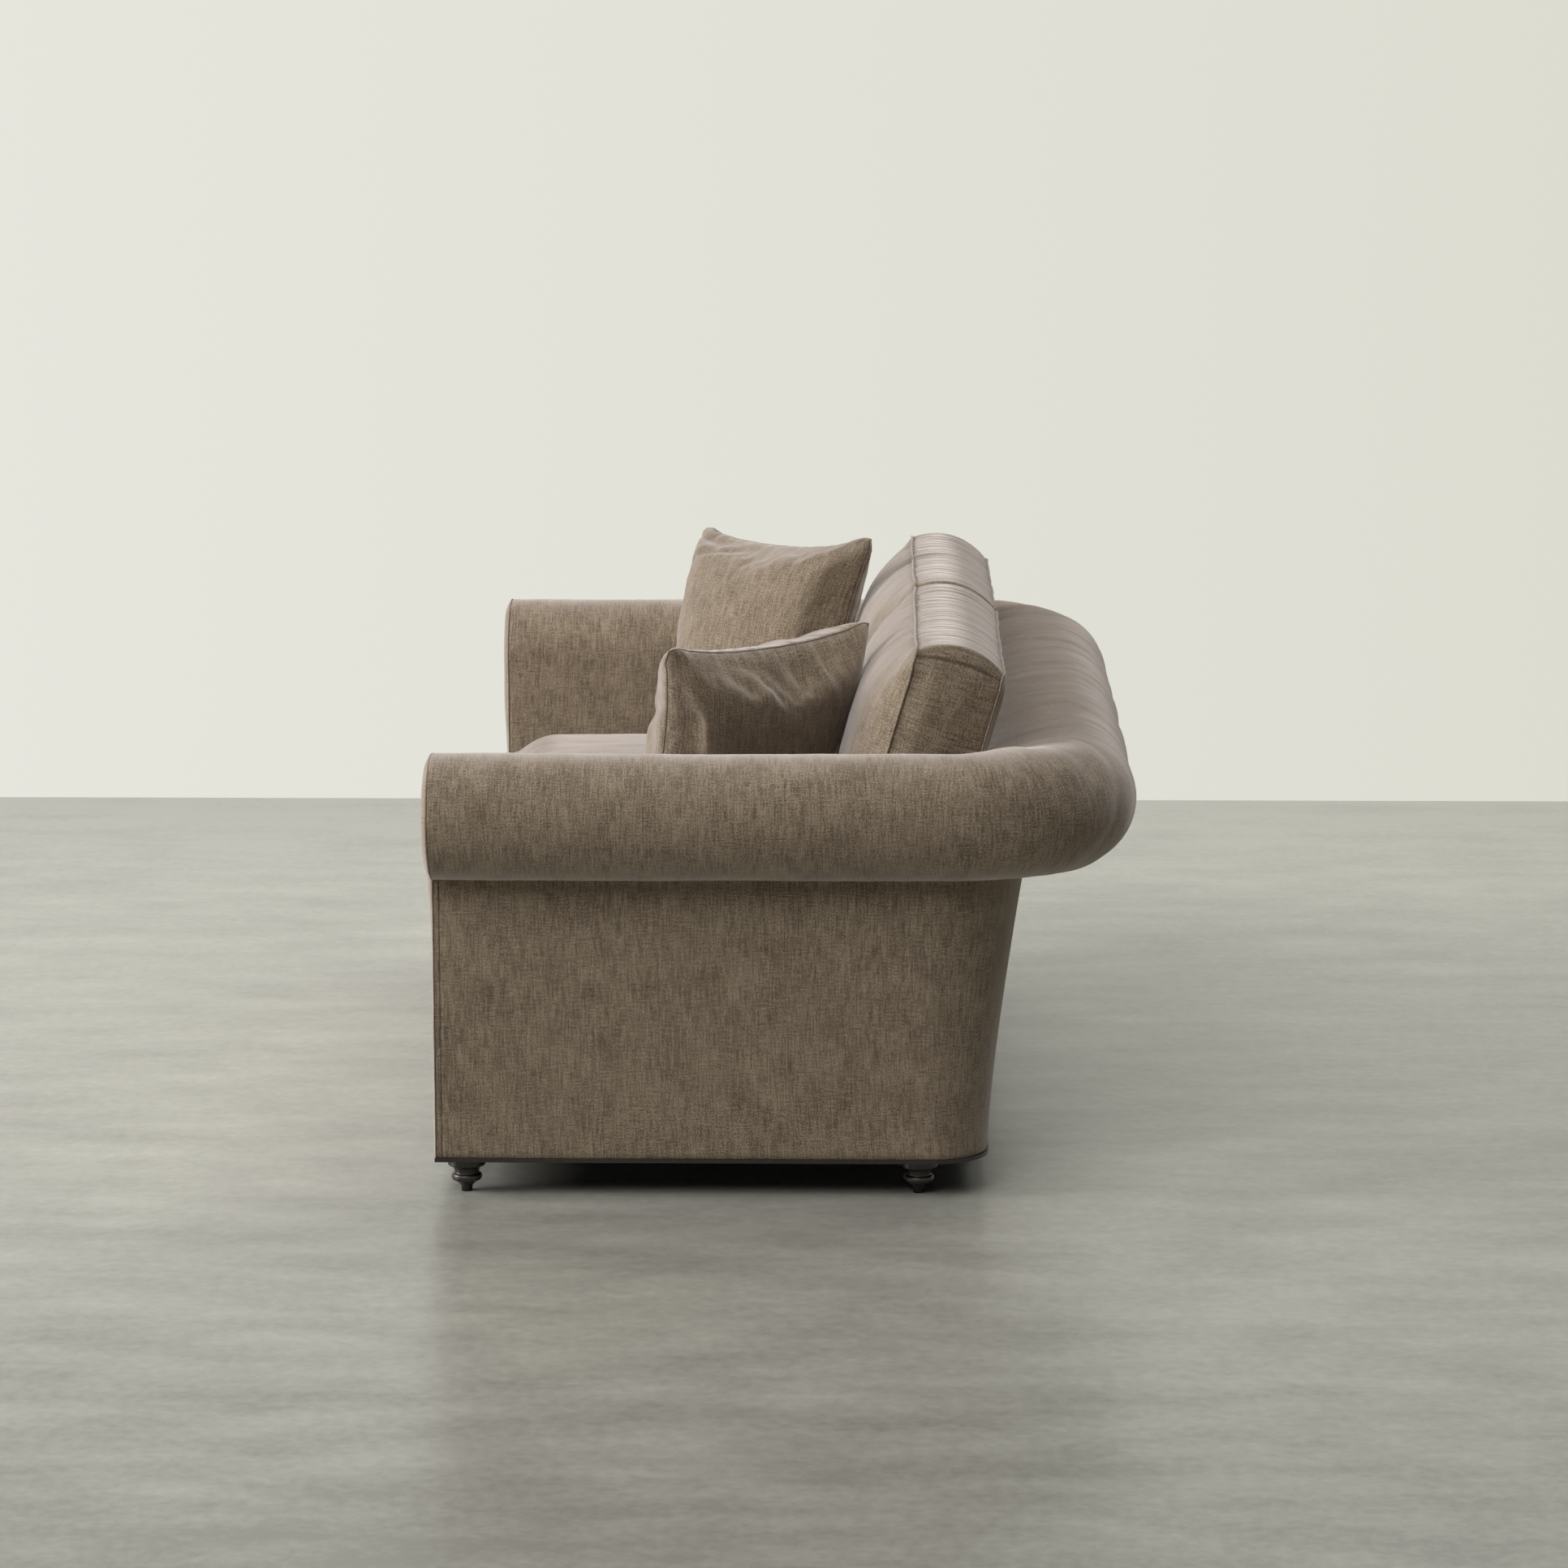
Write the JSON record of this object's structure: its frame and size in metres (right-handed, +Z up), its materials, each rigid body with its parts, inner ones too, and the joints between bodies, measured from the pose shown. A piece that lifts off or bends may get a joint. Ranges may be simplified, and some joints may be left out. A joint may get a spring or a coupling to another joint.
{
  "type": "roll arm sofa",
  "caption": "Upholstered sofa with a round roll along both arms and the back, loose seat and back cushions, corner pillows and short turned feet.",
  "frame": {"origin": "on the floor under the centre of the sofa's box", "axes": "+X towards the sitter's left arm, -Y towards the front, +Z up"},
  "size_m": [1.83, 1.06, 0.8311],
  "materials": {
    "linen": "washed taupe-brown linen, soft and slightly velvety",
    "dark_wood": "very dark brown satin stain",
    "frame_wood": "bare sawn hardwood",
    "webbing": "woven elastic webbing",
    "black_cloth": "thin black non-woven dust cloth",
    "filling": "foam and fibre filling",
    "zinc_steel": "zinc-plated steel"
  },
  "bodies": {
    "frame": {"front_seat_rail": "frame_wood", "back_seat_rail": "frame_wood", "centre_cross_rail": "frame_wood", "side_seat_rail_left": "frame_wood", "side_seat_rail_right": "frame_wood", "front_corner_block_left": "frame_wood", "front_corner_block_right": "frame_wood", "rear_corner_block_left": "frame_wood", "rear_corner_block_right": "frame_wood", "arm_front_board_left": "frame_wood", "arm_front_board_right": "frame_wood", "arm_back_post_left": "frame_wood", "arm_back_post_right": "frame_wood", "arm_top_rail_left": "frame_wood", "arm_top_rail_right": "frame_wood", "back_top_rail": "frame_wood", "back_upright_left": "frame_wood", "back_upright_right": "frame_wood", "seat_web_1": "webbing", "seat_web_2": "webbing", "seat_web_3": "webbing", "seat_web_4": "webbing", "seat_web_5": "webbing", "seat_web_6": "webbing", "seat_web_7": "webbing", "seat_platform": "linen", "dust_cover": "black_cloth", "base_trim": "dark_wood", "foot_front_left": "dark_wood", "foot_front_right": "dark_wood", "foot_rear_left": "dark_wood", "foot_rear_right": "dark_wood", "foot_bolt_front_left": "zinc_steel", "foot_bolt_front_right": "zinc_steel", "foot_bolt_rear_left": "zinc_steel", "foot_bolt_rear_right": "zinc_steel", "arm_pad_left": "linen", "arm_pad_right": "linen", "back_corner_pad_left": "linen", "back_corner_pad_right": "linen", "back_pad": "linen", "outside_arm_left": "linen", "outside_arm_right": "linen", "outside_back": "linen", "arm_facing_left": "linen", "arm_facing_right": "linen", "front_border": "linen"},
    "seat_cushion_left": {"seat_cushion_cover_left": "linen", "seat_cushion_core_left": "filling"},
    "seat_cushion_right": {"seat_cushion_cover_right": "linen", "seat_cushion_core_right": "filling"},
    "back_cushion_left": {"back_cushion_cover_left": "linen", "back_cushion_core_left": "filling"},
    "back_cushion_right": {"back_cushion_cover_right": "linen", "back_cushion_core_right": "filling"},
    "pillow_left": {"pillow_cover_left": "linen", "pillow_insert_left": "filling"},
    "pillow_right": {"pillow_cover_right": "linen", "pillow_insert_right": "filling"}
  },
  "joints": [
    {"name": "seat_cushion_left_lift", "type": "slide", "parent": "frame", "child": "seat_cushion_left", "axis": [0, 0, 1], "range_m": [0, 0.42]},
    {"name": "seat_cushion_right_lift", "type": "slide", "parent": "frame", "child": "seat_cushion_right", "axis": [0, 0, 1], "range_m": [0, 0.42]},
    {"name": "back_cushion_left_lift", "type": "slide", "parent": "seat_cushion_left", "child": "back_cushion_left", "axis": [0, 0.2672, 0.9636], "range_m": [0, 0.32]},
    {"name": "back_cushion_right_lift", "type": "slide", "parent": "seat_cushion_right", "child": "back_cushion_right", "axis": [0, 0.2672, 0.9636], "range_m": [0, 0.32]},
    {"name": "pillow_left_lift", "type": "slide", "parent": "back_cushion_left", "child": "pillow_left", "axis": [-0.35, -0.35, 0.8689], "range_m": [0, 0.3]},
    {"name": "pillow_right_lift", "type": "slide", "parent": "back_cushion_right", "child": "pillow_right", "axis": [0.35, -0.35, 0.8689], "range_m": [0, 0.3]}
  ]
}
